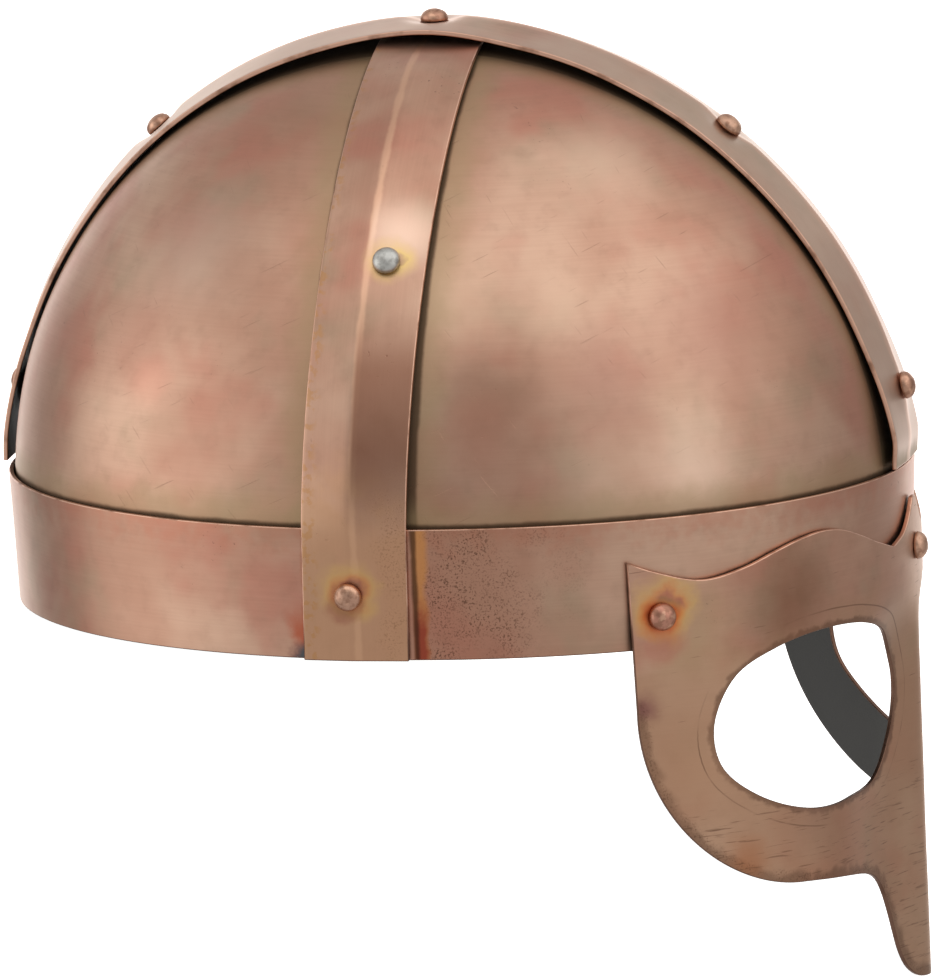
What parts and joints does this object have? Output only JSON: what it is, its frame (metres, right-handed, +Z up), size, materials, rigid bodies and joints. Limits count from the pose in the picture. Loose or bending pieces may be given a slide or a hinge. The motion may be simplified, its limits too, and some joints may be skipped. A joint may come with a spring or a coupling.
{
  "type": "norse iron helmet",
  "caption": "Round riveted metal helmet with a crest band, a side strap, a brow band and a spectacle guard with a long nose piece, worn to protect the head and face.",
  "frame": {"origin": "on the ground, in the middle of the helmet's footprint as it rests leaned back on the nose tip and the back of the rim", "axes": "+X towards the wearer's face, +Y to the wearer's left, +Z up from the ground"},
  "size_m": [0.278, 0.2122, 0.1873],
  "materials": {
    "bowl_copper": "antique copper over sheet steel, brushed, with brown toning",
    "crest_copper": "antique copper over sheet steel, brushed along the band, bright cut edges",
    "strap_copper": "antique copper over sheet steel, brushed along the strap, with heat tint and small pits",
    "band_copper": "antique copper over sheet steel, brushed round the band, redder than the bowl",
    "guard_copper": "antique copper over sheet steel, browner and less polished, dark inside",
    "rivet_copper": "copper-toned hammered rivet",
    "rivet_steel": "bare steel hammered rivet"
  },
  "bodies": {
    "root": {"bowl": "bowl_copper", "crest_band": "crest_copper", "side_strap": "strap_copper", "brow_band": "band_copper", "eye_guard": "guard_copper", "rivet_crest_top": "rivet_copper", "rivet_crest_front_high": "rivet_copper", "rivet_crest_front_low": "rivet_copper", "rivet_crest_rear_high": "rivet_copper", "rivet_crest_rear_low": "rivet_copper", "rivet_strap_right_mid": "rivet_steel", "rivet_strap_right_low": "rivet_copper", "rivet_strap_left_mid": "rivet_steel", "rivet_strap_left_low": "rivet_copper", "rivet_guard_centre": "rivet_copper", "rivet_guard_right": "rivet_copper", "rivet_guard_left": "rivet_copper"}
  },
  "joints": []
}
